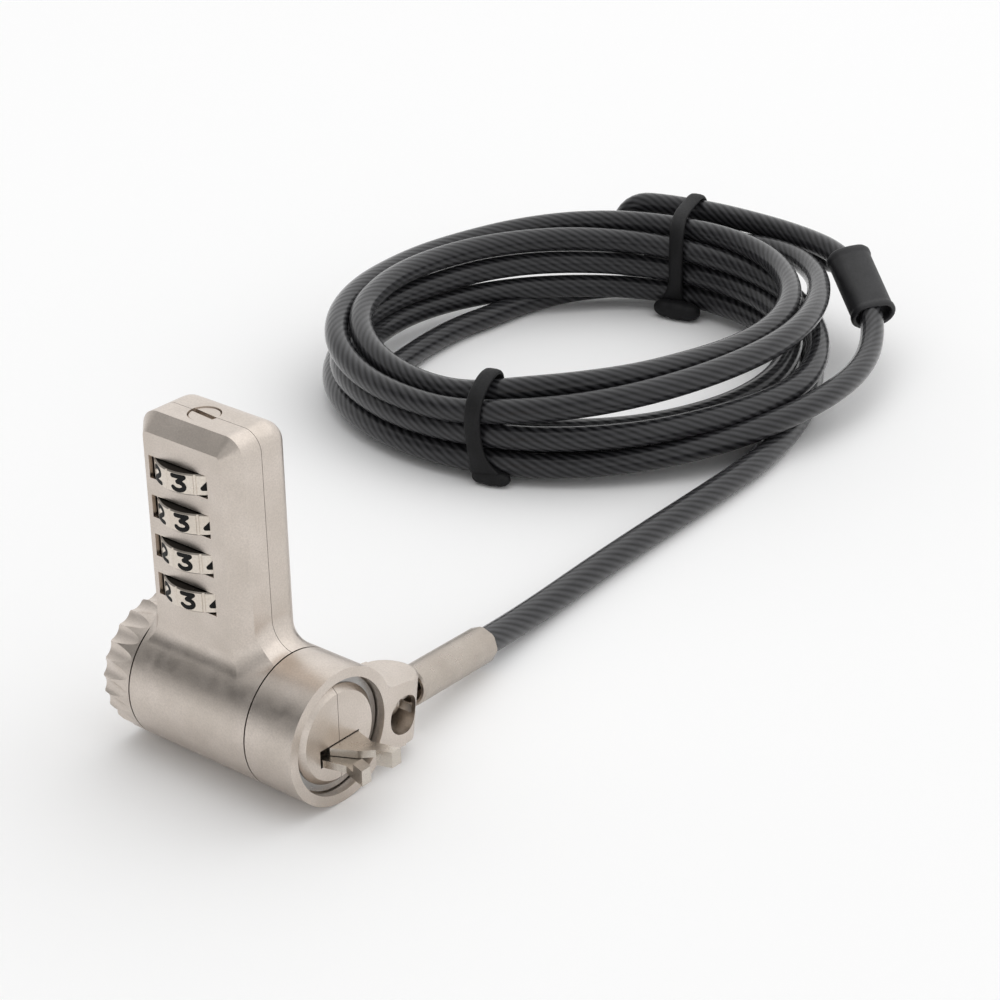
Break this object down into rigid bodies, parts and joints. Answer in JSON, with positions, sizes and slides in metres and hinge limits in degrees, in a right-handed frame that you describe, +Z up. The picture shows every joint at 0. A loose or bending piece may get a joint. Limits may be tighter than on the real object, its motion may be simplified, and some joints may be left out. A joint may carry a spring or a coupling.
{
  "type": "laptop cable lock",
  "caption": "Combination cable lock with a dial handle, a turning knob, a scissor T-bar for a security slot, a swivel ring and a coiled steel cable with an end loop.",
  "frame": {"origin": "centre of the T-bar in the plane of the nose (front face of the swivel ring)", "axes": "+X out of the nose into the device, +Z up along the dial axis, +Y towards the side the cable leaves; the lock stands upright on its barrel and the coil lies on the same floor"},
  "size_m": [0.1234, 0.2135, 0.0566],
  "materials": {
    "nickel": "satin pearl nickel plating",
    "dial_nickel": "satin, paler, digits engraved and filled black",
    "steel": "machined steel",
    "spring_steel": "spring steel",
    "brass_hub": "turned brass",
    "cable_vinyl": "smoke-tinted glossy vinyl over twisted steel strands",
    "black_plastic": "moulded matte black"
  },
  "bodies": {
    "housing": {"front_shell": "nickel", "rear_shell": "nickel", "dowel_1": "steel", "dowel_2": "steel", "dowel_3": "steel", "arm_pin": "steel", "detent_spring": "spring_steel", "ring_retainer": "spring_steel"},
    "knob": {"knob": "nickel", "drive_shaft": "steel"},
    "upper_arm": {"upper_arm": "steel"},
    "lower_arm": {"lower_arm": "steel"},
    "spindle": {"spindle": "steel", "spindle_spring": "spring_steel"},
    "reset_screw": {"reset_screw": "nickel"},
    "dial_1": {"dial_1": "dial_nickel", "hub_1": "brass_hub"},
    "dial_2": {"dial_2": "dial_nickel", "hub_2": "brass_hub"},
    "dial_3": {"dial_3": "dial_nickel", "hub_3": "brass_hub"},
    "dial_4": {"dial_4": "dial_nickel", "hub_4": "brass_hub"},
    "swivel_ring": {"swivel_ring": "nickel"},
    "cable": {"cable_stud": "steel", "cable_ferrule": "nickel", "cable_lead": "cable_vinyl", "cable_coil": "cable_vinyl", "cable_tail": "cable_vinyl", "end_loop": "cable_vinyl", "end_sleeve": "black_plastic", "tie_front": "black_plastic", "tie_rear": "black_plastic"}
  },
  "joints": [
    {"name": "knob_turn", "type": "hinge", "parent": "housing", "child": "knob", "pos_m": [-0.0365, 0, 0.0023], "axis": [1, 0, 0], "range_deg": [0, 90]},
    {"name": "upper_arm_swing", "type": "hinge", "parent": "housing", "child": "upper_arm", "pos_m": [-0.008, 0, 0], "axis": [0, 0, 1], "range_deg": [-5, 0]},
    {"name": "lower_arm_swing", "type": "hinge", "parent": "housing", "child": "lower_arm", "pos_m": [-0.008, 0, 0], "axis": [0, 0, 1], "range_deg": [0, 5]},
    {"name": "spindle_lift", "type": "slide", "parent": "housing", "child": "spindle", "axis": [0, 0, 1], "range_m": [0, 0.002], "deforming": ["spindle_spring"]},
    {"name": "dial_1_turn", "type": "hinge", "parent": "housing", "child": "dial_1", "pos_m": [-0.0243, 0, 0.04], "axis": [0, 0, 1], "continuous": true},
    {"name": "dial_2_turn", "type": "hinge", "parent": "housing", "child": "dial_2", "pos_m": [-0.0243, 0, 0.0336], "axis": [0, 0, 1], "continuous": true},
    {"name": "dial_3_turn", "type": "hinge", "parent": "housing", "child": "dial_3", "pos_m": [-0.0243, 0, 0.0272], "axis": [0, 0, 1], "continuous": true},
    {"name": "dial_4_turn", "type": "hinge", "parent": "housing", "child": "dial_4", "pos_m": [-0.0243, 0, 0.0208], "axis": [0, 0, 1], "continuous": true},
    {"name": "reset_screw_turn", "type": "hinge", "parent": "housing", "child": "reset_screw", "pos_m": [-0.0243, 0, 0.046], "axis": [0, 0, 1], "range_deg": [0, 90]},
    {"name": "ring_swivel", "type": "hinge", "parent": "housing", "child": "swivel_ring", "pos_m": [-0.0046, 0, 0.0023], "axis": [1, 0, 0], "continuous": true},
    {"name": "cable_pivot", "type": "hinge", "parent": "swivel_ring", "child": "cable", "pos_m": [-0.0046, 0.01422, 0.00005], "axis": [0, 0.1564, 0.9877], "range_deg": [-30, 0]}
  ],
  "couplings": [
    {"joint": "upper_arm_swing", "follows": "knob_turn", "ratio": -0.055556},
    {"joint": "lower_arm_swing", "follows": "knob_turn", "ratio": 0.055556},
    {"joint": "spindle_lift", "follows": "knob_turn", "m_per_rad": 0.0012732}
  ]
}
